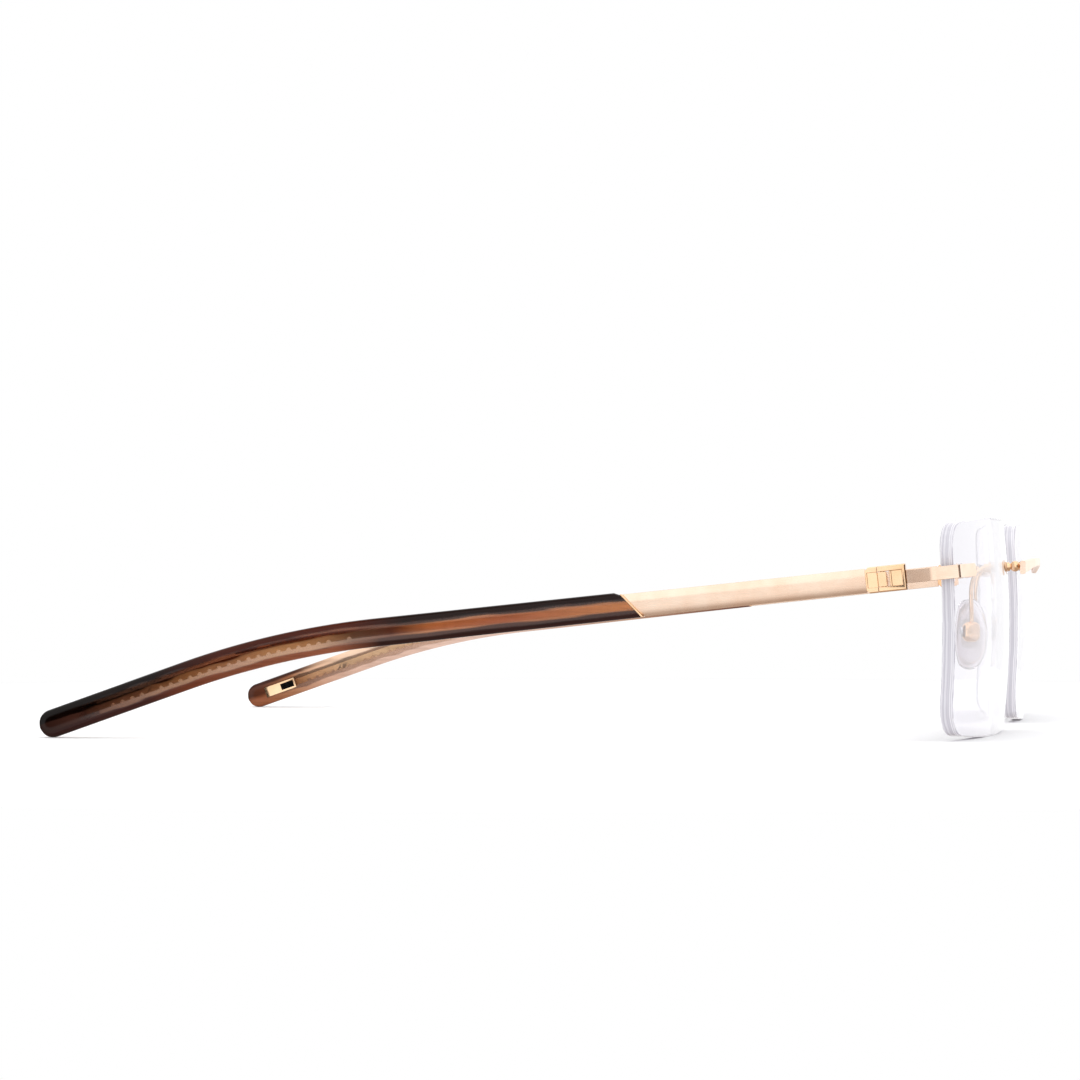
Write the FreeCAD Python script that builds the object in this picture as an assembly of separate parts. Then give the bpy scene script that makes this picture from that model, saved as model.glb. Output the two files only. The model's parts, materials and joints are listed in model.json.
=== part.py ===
import FreeCAD, Part
import math
import os

# Rimless spectacles standing open on a table, in millimetres.
# +Z is up and the table is at zero. The wearer looks along -Y, so +X is the wearer's left.
# Everything is drawn for the wearer's left side and mirrored for the right, with zero along Y
# at the front of the lenses, and is then moved so that the origin is the middle of the footprint.

# lenses
lens_width = 55.0
lens_height = 35.2
lens_gap = 23.4
lens_thick = 2.0
lens_radius = 145.0
lens_wrap = 5.0
top_arch = 1.3
bottom_arch = 1.2
side_arch = 0.5
blank_ahead = 8.0
blank_deep = 24.0
corner_radii = {"temple_top": 5.0, "temple_bottom": 6.0, "nose_top": 5.5, "nose_bottom": 7.5}

# the four lens fixings
fixing_inset = 3.5
fixing_rise = 9.6
stud_radius = 0.5
bushing_wall = 0.25
seat_thick = 0.25
seat_radius = 1.1
seat_relief = 0.01
nut_radius = 0.75
nut_thick = 0.8
close_fit = 0.02
slot_width = 0.3
slot_depth = 0.3
past = 1.0  # how far a cutting shape runs on beyond the face that it cuts

# bridge
ball_radius = 0.89
ball_gap = 0.35
bridge_overhang = 0.9
bridge_end_high = 2.2
bridge_mid_high = 1.4
bridge_end_thick = 0.9
bridge_mid_thick = 1.15
bridge_forward = 1.25
bridge_top_rise = 0.47
bridge_hang = 1.35
bridge_edge_share = 0.3
bridge_steps = (-1.0, -0.62, -0.32, 0.0, 0.32, 0.62, 1.0)

# temple line and hinge
temple_slope = 6.07
temple_splay = 1.0
pin_from_middle = 68.5
pin_from_lens = 16.0
hinge_high = 4.1
hinge_outer = 1.35
hinge_panel = 1.1
hinge_chamfer = 0.2
knuckle_radius = 0.75
leaf_thick = 0.85
seam_gap = 0.05
running_gap = 0.03
pin_radius = 0.4
pin_head_radius = 0.6
pin_head_thick = 0.35
block_length = 3.7
rail_width = 0.6
fork_depth = 1.1
panel_gap = 0.5
lip_wide = 0.3
lip_set_back = 0.1
seam_groove = 0.08
tongue_nose = 0.6
cap_length = 1.85
cap_chamfer = 0.55

# end-piece strip
strip_high = 2.1
strip_thick = 1.0
strip_offset = 0.3
strip_root = 0.4
strip_level_at = 4.0
strip_edge_gap = 0.1
strip_turn_clear = 1.2
strip_turn_radius = 3.0
plate_length = 7.3
plate_corner = 0.7
plate_gap_inner = 0.08
plate_gap_outer = 0.12
screw_bite = 0.7

# temples
bar_high = 3.8
bar_thick = 1.3
bar_centre = 0.3
bevel_high = 1.0
bevel_deep = 0.3
cut_distance = 39.4
cut_lean = 0.78
ferrule_thick = 0.35
ferrule_high = 3.9
ferrule_inset = 0.15
tip_high = 4.5
tip_front_low = 2.0
tip_thick = 2.6
tip_edge_round = 0.75
taper_end = 78.0
bend_start = 80.5
bend_radius = 136.0
bend_angle = 13.4
tip_straight = 23.0
core_high = 1.1
core_thick = 0.9
core_clear = 0.05
core_short = 5.3
scallop_radius = 0.42
scallop_pitch = 1.66
scallop_start = 85.0
scallop_end = 125.0
plaque_length = 6.1
plaque_high = 2.0
plaque_thick = 0.35
plaque_proud = 0.05
plaque_back = 4.6
cell_length = 2.6
cell_high = 1.2
cell_ahead = 1.45
cell_deep = 0.15

# nose pads
pad_from_middle = 13.3
pad_from_lens = 6.2
pad_rise = 16.3
pad_splay = 12.0
pad_tilt = 10.0
pad_wide = 7.3
pad_tall = 12.0
pad_thick = 2.4
pad_round = 0.95
box_wide = 3.1
box_tall = 3.4
box_deep = 2.6
box_round = 1.15
box_slot = 1.3
box_end_wall = 0.6
tab_wide = 1.2
tab_tall = 1.2
tab_clear = 0.1
insert_tall = 5.0
insert_wide = 3.0
insert_thick = 0.6
pad_clear = 0.6
pad_screw_radius = 0.35
pad_head_radius = 0.85
pad_head_thick = 0.4
arm_radius = 0.38
arm_ring_radius = 1.0
arm_ring_thick = 0.5
arm_side = 1.25
arm_lift = 0.3
arm_bow = 0.05
# the arm's wire on its way back and down: inwards in mm, then shares of the run back and the fall
arm_route = [(0.1, 0.4, 0.05), (0.25, 0.8, 0.17)]
arm_drop = (0.38, 0.65)


def vec(x, y, z):
    return FreeCAD.Vector(x, y, z)


def turn(axis, degrees):
    return FreeCAD.Rotation(axis, degrees)


AX = vec(1, 0, 0)
AY = vec(0, 1, 0)
AZ = vec(0, 0, 1)
half_w = lens_width / 2
half_h = lens_height / 2
lens_centre = (lens_width + lens_gap) / 2
lens_frame = FreeCAD.Placement(vec(lens_centre, 0, half_h), turn(AZ, lens_wrap))
nose_u = fixing_inset - half_w
temple_u = half_w - fixing_inset
bend = math.radians(bend_angle)
bend_length = bend_radius * bend
temple_length = bend_start + bend_length + tip_straight


def along_temple(s, rise):
    """Point beside the temple's middle line, s along it from the pin and rise above it."""
    if s <= bend_start:
        return vec(0, s, rise)
    lean = min((s - bend_start) / bend_radius, bend)
    rest = max(s - bend_start - bend_length, 0)
    y = bend_start + (bend_radius + rise) * math.sin(lean) + rest * math.cos(lean)
    z = (bend_radius + rise) * math.cos(lean) - bend_radius - rest * math.sin(lean)
    return vec(0, y, z)


slope = math.radians(temple_slope)
tip_centre = along_temple(temple_length, 0)
pin_rise = tip_high / 2 + tip_centre.y * math.sin(slope) - tip_centre.z * math.cos(slope)
hinge_frame = FreeCAD.Placement(vec(pin_from_middle, pin_from_lens, pin_rise), turn(AX, -temple_slope))
splay_frame = hinge_frame.multiply(FreeCAD.Placement(vec(0, 0, 0), turn(AZ, -temple_splay)))
pad_frame = FreeCAD.Placement(vec(pad_from_middle, pad_from_lens, pad_rise), turn(AZ, -pad_splay))
rocker_frame = pad_frame.multiply(FreeCAD.Placement(vec(0, 0, 0), turn(AY, -pad_tilt)))


def placed(shape, frame):
    moved = shape.copy()
    moved.Placement = frame.multiply(moved.Placement)
    return moved


def block(x0, x1, y0, y1, z0, z1):
    return Part.makeBox(x1 - x0, y1 - y0, z1 - z0, vec(x0, y0, z0))


def rod(radius, start, end):
    along = end.sub(start)
    return Part.makeCylinder(radius, along.Length, start, along)


def prism(points, along):
    loop = Part.makePolygon(points + [points[0]])
    return Part.Face(loop).extrude(along)


def edges_along(shape, axis, near=None, reach=0.3):
    """Straight edges parallel to an axis, optionally only those whose middle is near a point."""
    chosen = []
    for edge in shape.Edges:
        if edge.Curve.TypeId != "Part::GeomLine":
            continue
        ends = edge.Vertexes[1].Point.sub(edge.Vertexes[0].Point)
        if ends.Length < 1e-6 or abs(ends.normalize().dot(axis)) < 0.9999:
            continue
        middle = edge.CenterOfMass
        if near is not None:
            across = middle.sub(near)
            across = across.sub(vec(axis.x, axis.y, axis.z).multiply(across.dot(axis)))
            if across.Length > reach:
                continue
        chosen.append(edge)
    return chosen


def lens_point(u, v):
    deep = lens_radius - math.sqrt(lens_radius ** 2 - u ** 2 - v ** 2)
    return vec(u, deep, v)


def fixing_point(u, v, ahead):
    """Point on the line square to the lens through (u, v), ahead of the front face."""
    front = lens_point(u, v)
    out = front.sub(vec(0, lens_radius, 0)).normalize()
    return front.add(out.multiply(ahead))


def fixing_rod(u, v, radius, start, end):
    return placed(rod(radius, fixing_point(u, v, start), fixing_point(u, v, end)), lens_frame)


temple_v = pin_rise + (pin_from_lens - strip_level_at) * math.tan(slope) - half_h
nose_fixing = (nose_u, fixing_rise)
temple_fixing = (temple_u, temple_v)
back = -lens_thick - seat_relief


def lens():
    top = half_h - top_arch
    low = bottom_arch - half_h
    side = half_w - side_arch
    y = -blank_ahead
    corners = [vec(side, y, top), vec(-side, y, top), vec(-side, y, low), vec(side, y, low)]
    middles = [vec(0, y, half_h), vec(-half_w, y, 0), vec(0, y, -half_h), vec(half_w, y, 0)]
    arcs = []
    for i in range(4):
        arcs.append(Part.Arc(corners[i], middles[i], corners[(i + 1) % 4]).toShape())
    body = Part.Face(Part.Wire(arcs)).extrude(vec(0, blank_deep, 0))
    names = ["temple_top", "nose_top", "nose_bottom", "temple_bottom"]
    for corner, name in zip(corners, names):
        body = body.makeFillet(corner_radii[name], edges_along(body, AY, corner))
    middle = vec(0, lens_radius, 0)
    body = body.common(Part.makeSphere(lens_radius, middle))
    body = body.cut(Part.makeSphere(lens_radius - lens_thick, middle))
    body = placed(body, lens_frame)
    for u, v in (nose_fixing, temple_fixing):
        body = body.cut(fixing_rod(u, v, stud_radius + bushing_wall + close_fit, past, back - past))
    return body


def bushing(u, v):
    sleeve = fixing_rod(u, v, stud_radius + bushing_wall, 0, back)
    return sleeve.cut(fixing_rod(u, v, stud_radius + close_fit, past, back - past))


def seat(u, v):
    ring = fixing_rod(u, v, seat_radius, back, back - seat_thick)
    return ring.cut(fixing_rod(u, v, stud_radius + close_fit, past, back - past))


def nut(u, v, start):
    disc = fixing_rod(u, v, nut_radius, start, start - nut_thick)
    disc = disc.cut(fixing_rod(u, v, stud_radius, 0, start - nut_thick + slot_depth))
    tail = start - nut_thick
    notch = block(-slot_width / 2, slot_width / 2, -slot_depth, slot_depth, -nut_radius, nut_radius)
    notch.Placement = FreeCAD.Placement(fixing_point(u, v, tail), turn(AZ, 0))
    return disc.cut(placed(notch, lens_frame))


nose_nut_start = back - seat_thick - arm_ring_thick
temple_nut_start = back - seat_thick


def ball_stud():
    u, v = nose_fixing
    shank = fixing_rod(u, v, stud_radius, ball_gap + ball_radius, nose_nut_start - nut_thick + slot_depth)
    collar = fixing_rod(u, v, nut_radius, 0, ball_gap)
    ball = Part.makeSphere(ball_radius, fixing_point(u, v, ball_gap + ball_radius))
    tenon_end = ball_gap + 2 * ball_radius + bridge_end_thick / 2
    tenon = fixing_rod(u, v, stud_radius / 2, ball_gap + ball_radius, tenon_end)
    return placed(ball, lens_frame).fuse([shank, collar, tenon]).removeSplitter()


stud_face = lens_frame.multVec(fixing_point(nose_fixing[0], nose_fixing[1], ball_gap + 2 * ball_radius))


def bridge_section(x, y, low, high, thick):
    r = min(thick, high - low) * bridge_edge_share
    y0 = y - thick / 2
    y1 = y + thick / 2
    k = r * (1 - math.sqrt(0.5))
    spots = [(y0 + r, low, y1 - r, low, y1 - k, low + k), (y1, low + r, y1, high - r, y1 - k, high - k),
             (y1 - r, high, y0 + r, high, y0 + k, high - k), (y0, high - r, y0, low + r, y0 + k, low + k)]
    edges = []
    for i in range(4):
        ay, az, by, bz, my, mz = spots[i]
        cy, cz = spots[(i + 1) % 4][:2]
        edges.append(Part.makeLine(vec(x, ay, az), vec(x, by, bz)))
        edges.append(Part.Arc(vec(x, by, bz), vec(x, my, mz), vec(x, cy, cz)).toShape())
    return Part.Wire(edges)


def bridge():
    end_x = stud_face.x + bridge_overhang
    end_low = stud_face.z - bridge_hang
    wires = []
    for step in bridge_steps:
        arch = (1 + math.cos(math.pi * step)) / 2
        thick = bridge_end_thick + (bridge_mid_thick - bridge_end_thick) * arch
        y = stud_face.y - bridge_end_thick / 2 - bridge_forward * (1 - step ** 2)
        high = end_low + bridge_end_high + bridge_top_rise * (1 - step ** 2)
        low = end_low + (bridge_end_high - bridge_mid_high + bridge_top_rise) * (1 - step ** 2)
        wires.append(bridge_section(step * end_x, y, low, high, thick))
    body = Part.makeLoft(wires, True, False)
    for stud in (ball_stud(), ball_stud().mirror(vec(0, 0, 0), AX)):
        body = body.cut(stud)
    return body


def pad_arm():
    u, v = nose_fixing
    ring = fixing_rod(u, v, arm_ring_radius, back - seat_thick, nose_nut_start)
    start = lens_frame.multVec(fixing_point(u, v, back - seat_thick - arm_radius - close_fit))
    root = start.add(vec(-arm_side, 0, arm_lift))
    box_top = vec(pad_from_middle, pad_from_lens, pad_rise + box_tall / 2 - box_end_wall / 2)
    fall = root.z - box_top.z
    run = box_top.y - root.y
    points = [root]
    for inward, back_share, fall_share in arm_route:
        points.append(root.add(vec(-inward, run * back_share, -fall * fall_share)))
    points.append(vec(box_top.x, box_top.y - arm_bow, root.z - fall * arm_drop[0]))
    points.append(vec(box_top.x, box_top.y, root.z - fall * arm_drop[1]))
    points.append(box_top)
    curve = Part.BSplineCurve()
    curve.interpolate(points)
    path = Part.Wire(curve.toShape())
    circle = Part.Wire(Part.makeCircle(arm_radius, root, curve.tangent(curve.FirstParameter)[0]))
    wire = path.makePipeShell([circle], True, True)
    body = ring.fuse([wire, Part.makeSphere(arm_radius, root)]).removeSplitter()
    body = body.cut(fixing_rod(u, v, stud_radius + close_fit, past, nose_nut_start - past))
    nut_end = nose_nut_start - nut_thick - past
    body = body.cut(fixing_rod(u, v, nut_radius + close_fit, nose_nut_start, nut_end))
    return body.cut(pad_box())


def pad_box():
    d, w, h = box_deep / 2, box_wide / 2, box_tall / 2
    body = block(-d, d, -w, w, -h, h)
    body = body.makeFillet(box_round, body.Edges)
    tall = h - box_end_wall
    body = body.cut(block(-d - past, tab_tall / 2 + tab_clear, -box_slot / 2, box_slot / 2, -tall, tall))
    body = body.cut(rod(pad_screw_radius, vec(0, -w - past, 0), vec(0, w + past, 0)))
    return placed(body, pad_frame)


def pad_screw():
    w = box_wide / 2
    shank = rod(pad_screw_radius, vec(0, -w, 0), vec(0, w, 0))
    head = rod(pad_head_radius, vec(0, w, 0), vec(0, w + pad_head_thick, 0))
    head = head.makeFillet(pad_head_thick / 3, [head.Edges[0]])
    body = shank.fuse(head).removeSplitter()
    top = w + pad_head_thick
    reach = pad_head_radius * 0.7
    for long_x, long_z in ((reach, slot_width / 2), (slot_width / 2, reach)):
        body = body.cut(block(-long_x, long_x, top - slot_depth / 2, top + past, -long_z, long_z))
    return placed(body, pad_frame)


pad_back = box_deep / 2 + pad_clear


def pad_insert():
    plate_x = -pad_back - insert_thick
    tab = block(plate_x, 0, -tab_wide / 2, tab_wide / 2, -tab_tall / 2, tab_tall / 2)
    tab = tab.fuse(rod(tab_tall / 2, vec(0, -tab_wide / 2, 0), vec(0, tab_wide / 2, 0)))
    plate = block(plate_x, -pad_back, -insert_wide / 2, insert_wide / 2, -insert_tall / 2, insert_tall / 2)
    plate = plate.makeFillet(insert_wide * 0.3, edges_along(plate, AX))
    body = tab.fuse(plate).removeSplitter()
    body = body.cut(rod(pad_screw_radius + running_gap, vec(0, -box_wide, 0), vec(0, box_wide, 0)))
    return placed(body, rocker_frame)


def nose_pad():
    oval = Part.Ellipse(vec(0, 0, 0), pad_tall / 2, pad_wide / 2).toShape()
    oval.rotate(vec(0, 0, 0), AY, 90)
    oval.translate(vec(-pad_back - pad_thick, 0, 0))
    body = Part.Face(Part.Wire(oval)).extrude(vec(pad_thick, 0, 0))
    rims = [edge for edge in body.Edges if edge.Length > pad_tall]
    body = body.makeFillet(pad_round, rims)
    return placed(body, rocker_frame).cut(pad_insert())


def strip_outline(points, thick):
    """Outline of a strip of even thickness along a bent line in the XY plane."""
    sides = []
    for sign in (1, -1):
        shifted = []
        for i in range(len(points)):
            before = points[max(i - 1, 0)]
            after = points[min(i + 1, len(points) - 1)]
            d0 = points[i].sub(before)
            d1 = after.sub(points[i])
            d0 = d1 if d0.Length == 0 else d0
            d1 = d0 if d1.Length == 0 else d1
            n0 = vec(-d0.y, d0.x, 0).normalize()
            n1 = vec(-d1.y, d1.x, 0).normalize()
            mitre = n0.add(n1).normalize()
            shifted.append(points[i].add(mitre.multiply(sign * thick / 2 / mitre.dot(n0))))
        sides.append(shifted)
    return sides[0] + sides[1][::-1]


def end_piece():
    v = temple_v
    off = seat_thick + strip_thick / 2
    to_hinge = hinge_frame.inverse()
    rim = to_hinge.multVec(lens_frame.multVec(lens_point(half_w - strip_edge_gap, v)))
    inner_end = fixing_point(half_w - plate_length, v, off + plate_gap_inner)
    inner = to_hinge.multVec(lens_frame.multVec(inner_end))
    outer = to_hinge.multVec(lens_frame.multVec(fixing_point(half_w - strip_thick, v, off + plate_gap_outer)))
    level = -strip_high / 2
    ahead = outer.sub(inner)
    side_x = rim.x + off + strip_edge_gap
    corner_y = outer.y + ahead.y / ahead.x * (side_x - outer.x)
    turn_start = vec(side_x, rim.y + lens_thick + strip_turn_clear, level)
    line = [vec(strip_offset, -block_length + strip_root, level), turn_start, vec(side_x, corner_y, level)]
    line.append(vec(inner.x, inner.y, level))
    outline = strip_outline(line, strip_thick)
    body = prism(outline, vec(0, 0, strip_high))
    turns = edges_along(body, AZ, outline[1]) + edges_along(body, AZ, outline[-2])
    body = body.makeFillet(strip_turn_radius, turns)
    body = body.makeFillet(strip_thick * 1.5, edges_along(body, AZ, outline[-3]))
    body = body.makeFillet(strip_thick * 0.5, edges_along(body, AZ, outline[2]))
    across = outline[3].sub(outline[4]).normalize()
    body = body.makeFillet(plate_corner, edges_along(body, across, inner, strip_high))
    body = placed(body, hinge_frame).cut(hinge_block())
    u, v = temple_fixing
    return body.cut(fixing_rod(u, v, stud_radius, seat_thick + strip_thick * screw_bite, back))


def lens_screw():
    u, v = temple_fixing
    end = temple_nut_start - nut_thick + slot_depth
    return fixing_rod(u, v, stud_radius, seat_thick + strip_thick * screw_bite, end)


def front_seat():
    u, v = temple_fixing
    ring = fixing_rod(u, v, seat_radius, 0, seat_thick)
    return ring.cut(end_piece()).cut(fixing_rod(u, v, stud_radius + close_fit, past, -past))


half_hinge = hinge_high / 2
half_gap = half_hinge - leaf_thick


def hinge_block():
    r = knuckle_radius
    points = [vec(hinge_outer, r, -half_hinge), vec(0, r, -half_hinge)]
    tail = [vec(-r, 0, -half_hinge), vec(-r, -block_length, -half_hinge)]
    tail.append(vec(hinge_outer, -block_length, -half_hinge))
    round_end = Part.Arc(points[1], vec(-r * math.sqrt(0.5), r * math.sqrt(0.5), -half_hinge), tail[0])
    loop = Part.Wire([Part.makePolygon(points), round_end.toShape(), Part.makePolygon(tail + [points[0]])])
    body = Part.Face(loop).extrude(vec(0, 0, hinge_high))
    body = body.makeChamfer(hinge_chamfer, edges_along(body, AY, vec(hinge_outer, 0, half_hinge))
                            + edges_along(body, AY, vec(hinge_outer, 0, -half_hinge))
                            + edges_along(body, AZ, vec(hinge_outer, -block_length, 0)))
    body = body.cut(block(-r - past, hinge_outer + past, -fork_depth, r + past, -half_gap, half_gap))
    face_x = hinge_outer + past
    panel = block(hinge_panel, face_x, rail_width - block_length, panel_gap - fork_depth, -half_gap, half_gap)
    lip_face = hinge_outer - lip_set_back
    lip = block(hinge_panel - past, lip_face, -fork_depth - lip_wide, -fork_depth, -half_gap, half_gap)
    body = body.cut(panel).fuse(lip).removeSplitter()
    body = body.cut(rod(pin_radius, vec(0, 0, -half_hinge - past), vec(0, 0, half_hinge + past)))
    head_seat = half_hinge - pin_head_thick
    body = body.cut(rod(pin_head_radius, vec(0, 0, head_seat), vec(0, 0, half_hinge + past)))
    return placed(body, hinge_frame)


def hinge_screw():
    body = rod(pin_radius, vec(0, 0, close_fit - half_hinge), vec(0, 0, half_hinge - pin_head_thick))
    head = rod(pin_head_radius, vec(0, 0, half_hinge - pin_head_thick), vec(0, 0, half_hinge))
    body = body.fuse(head).removeSplitter()
    half = slot_width / 3
    reach = pin_head_radius + past
    body = body.cut(block(-reach, reach, -half, half, half_hinge - pin_head_thick / 2, half_hinge + past))
    return placed(body, hinge_frame)


def hinge_tongue():
    r = knuckle_radius
    face = r + seam_gap
    rear = face + cap_length
    c = cap_chamfer
    side = [vec(-r, face, -half_hinge), vec(-r, face, half_hinge), vec(-r, rear - c, half_hinge),
            vec(-r, rear, half_hinge - c), vec(-r, rear, c - half_hinge), vec(-r, rear - c, -half_hinge)]
    cap = prism(side, vec(hinge_outer + r, 0, 0))
    cap = cap.makeChamfer(hinge_chamfer, edges_along(cap, AY, vec(hinge_outer, 0, half_hinge))
                          + edges_along(cap, AY, vec(hinge_outer, 0, -half_hinge)))
    cap = cap.cut(block(hinge_panel, hinge_outer + past, 0, rear - c / 2, -half_gap, half_gap))
    z = seam_gap - half_gap
    nose = Part.Arc(vec(0, -r, z), vec(-r * math.sqrt(0.5), -r * math.sqrt(0.5), z), vec(-r, 0, z))
    rim = [vec(-r, 0, z), vec(-r, face, z), vec(hinge_panel, face, z), vec(hinge_panel, -tongue_nose, z)]
    rim.append(vec(0, -r, z))
    loop = Part.Wire([nose.toShape(), Part.makePolygon(rim)])
    knuckle = Part.Face(loop).extrude(vec(0, 0, 2 * (half_gap - seam_gap)))
    body = cap.fuse(knuckle).removeSplitter()
    groove_x = hinge_panel - lip_set_back
    groove = block(groove_x, hinge_outer + past, face - seam_groove, face, -half_hinge, half_hinge)
    body = body.cut(groove)
    bore = pin_radius + running_gap
    body = body.cut(rod(bore, vec(0, 0, -half_hinge - past), vec(0, 0, half_hinge + past)))
    return placed(body, hinge_frame)


bar_start = knuckle_radius + seam_gap + cap_length + close_fit
bar_in = bar_centre - bar_thick / 2
bar_out = bar_centre + bar_thick / 2


def slanted(y0, y1, half_high, x0, x1):
    """Plate between two leaning lines that cross the temple's middle line at y0 and y1."""
    h = half_high
    lean = h * cut_lean
    side = [vec(x0, y0 - lean, -h), vec(x0, y0 + lean, h), vec(x0, y1 + lean, h), vec(x0, y1 - lean, -h)]
    return prism(side, vec(x1 - x0, 0, 0))


def temple_bar():
    h = bar_high / 2
    lean = h * cut_lean
    side = [vec(bar_in, bar_start, -h), vec(bar_in, bar_start, h), vec(bar_in, cut_distance + lean, h),
            vec(bar_in, cut_distance - lean, -h)]
    body = prism(side, vec(bar_thick, 0, 0))
    y = bar_start - past
    long_cut = vec(0, cut_distance + tip_high, 0)
    side_x = bar_out + past
    bevel = [vec(side_x, y, h - bevel_high), vec(bar_out, y, h - bevel_high), vec(bar_out - bevel_deep, y, h),
             vec(bar_out - bevel_deep, y, h + past), vec(side_x, y, h + past)]
    return placed(body.cut(prism(bevel, long_cut)), splay_frame)


def ferrule():
    half = tip_thick / 2 - ferrule_inset
    end = cut_distance + ferrule_thick
    body = slanted(cut_distance, end, ferrule_high / 2, bar_centre - half, bar_centre + half)
    body = body.cut(core_slot(0, 0))
    return placed(body, splay_frame)


def bent_face(start, end, half_high, x, round_end):
    """Face of a strip that follows the temple's bent middle line from start to end."""
    s1 = bend_start
    sm = bend_start + bend_length / 2
    s2 = bend_start + bend_length
    h = half_high

    def at(s, rise):
        return along_temple(s, rise).add(vec(x, 0, 0))

    edges = [Part.makeLine(at(start, h), at(s1, h)), Part.Arc(at(s1, h), at(sm, h), at(s2, h)).toShape()]
    edges.append(Part.makeLine(at(s2, h), at(end, h)))
    if round_end:
        edges.append(Part.Arc(at(end, h), at(end + h, 0), at(end, -h)).toShape())
    else:
        edges.append(Part.makeLine(at(end, h), at(end, -h)))
    edges.append(Part.makeLine(at(end, -h), at(s2, -h)))
    edges.append(Part.Arc(at(s2, -h), at(sm, -h), at(s1, -h)).toShape())
    edges.append(Part.makeLine(at(s1, -h), at(start, -h)))
    edges.append(Part.makeLine(at(start, -h), at(start, h)))
    return Part.Face(Part.Wire(edges))


def core_slot(clear, extra):
    x = bar_centre - core_thick / 2 - clear
    face = bent_face(cut_distance, temple_length - core_short + extra, core_high / 2 + clear, x, False)
    return face.extrude(vec(core_thick + 2 * clear, 0, 0))


def core_wire():
    body = core_slot(0, 0)
    in_x = bar_centre - past
    out_x = bar_centre + past
    body = body.cut(slanted(cut_distance - bar_high, cut_distance, tip_high, in_x, out_x))
    count = int((scallop_end - scallop_start) / scallop_pitch) + 1
    cutters = []
    for i in range(count):
        low = along_temple(scallop_start + i * scallop_pitch, -core_high / 2)
        cutters.append(rod(scallop_radius, low.add(vec(in_x, 0, 0)), low.add(vec(out_x, 0, 0))))
    return placed(body.cut(cutters), splay_frame)


def plaque_block(length, high, deep_from, deep_to, ahead=0):
    """Block lying on the tip's inner face, square to the temple's line near its end."""
    middle = along_temple(temple_length - plaque_back - ahead, 0)
    inner = bar_centre - tip_thick / 2
    body = block(inner + deep_from, inner + deep_to, -length / 2, length / 2, -high / 2, high / 2)
    body.Placement = FreeCAD.Placement(middle, turn(AX, -bend_angle))
    return body


def plaque():
    body = plaque_block(plaque_length, plaque_high, -plaque_proud, plaque_thick - plaque_proud)
    return placed(body.cut(enamel_shape()), splay_frame)


def enamel_shape():
    return plaque_block(cell_length, cell_high, -plaque_proud, cell_deep - plaque_proud, cell_ahead)


def enamel():
    return placed(enamel_shape(), splay_frame)


def temple_tip():
    x = bar_centre - tip_thick / 2
    start = cut_distance - tip_high
    body = bent_face(start, temple_length, tip_high / 2, x, True).extrude(vec(tip_thick, 0, 0))
    low = -tip_high / 2
    under = low - past
    wedge = [vec(x, start, -tip_front_low), vec(x, taper_end, low), vec(x, taper_end, under),
             vec(x, start - past, under), vec(x, start - past, -tip_front_low)]
    body = body.cut(prism(wedge, vec(tip_thick, 0, 0)))
    front = cut_distance + ferrule_thick
    body = body.cut(slanted(start - 3 * tip_high, front, 3 * tip_high, x - past, x + tip_thick + past))
    rims = []
    for edge in body.Edges:
        flat = edge.BoundBox.XLength < 1e-6
        on_side = abs(edge.CenterOfMass.x - bar_centre) > tip_thick * 0.45
        if flat and on_side:
            rims.append(edge)
    body = body.makeFillet(tip_edge_round, rims)
    body = body.cut(core_slot(core_clear, core_clear))
    return placed(body, splay_frame).cut(placed(plaque_shape(), splay_frame))


def plaque_shape():
    return plaque_block(plaque_length, plaque_high, -past, plaque_thick - plaque_proud)


def left_parts():
    return {
        "lens": lens(),
        "bridge_stud": ball_stud(),
        "bridge_bushing": bushing(*nose_fixing),
        "bridge_seat": seat(*nose_fixing),
        "bridge_nut": nut(nose_fixing[0], nose_fixing[1], nose_nut_start),
        "pad_arm": pad_arm(),
        "pad_box": pad_box(),
        "pad_screw": pad_screw(),
        "pad_insert": pad_insert(),
        "nose_pad": nose_pad(),
        "end_piece": end_piece(),
        "end_screw": lens_screw(),
        "end_bushing": bushing(*temple_fixing),
        "end_front_seat": front_seat(),
        "end_rear_seat": seat(*temple_fixing),
        "end_nut": nut(temple_fixing[0], temple_fixing[1], temple_nut_start),
        "hinge_block": hinge_block(),
        "hinge_screw": hinge_screw(),
        "hinge_tongue": hinge_tongue(),
        "temple_bar": temple_bar(),
        "ferrule": ferrule(),
        "core_wire": core_wire(),
        "temple_tip": temple_tip(),
        "plaque": plaque(),
        "enamel": enamel(),
    }


def rear_end():
    return temple_tip().optimalBoundingBox(False).YMax


def front_end():
    return bridge().optimalBoundingBox(False).YMin


# the origin is the middle of the footprint, on the table
centring = vec(0, -(front_end() + rear_end()) / 2, 0)


def write(shape, name):
    shape.translated(centring).exportStep("parts/" + name + ".step")


os.makedirs("parts", exist_ok=True)
write(bridge(), "bridge")
for name, shape in left_parts().items():
    write(shape, name + "_left")
    write(shape.mirror(vec(0, 0, 0), AX), name + "_right")
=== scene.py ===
import json
import math

import bmesh
import bpy
from mathutils import Matrix, Vector

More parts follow.
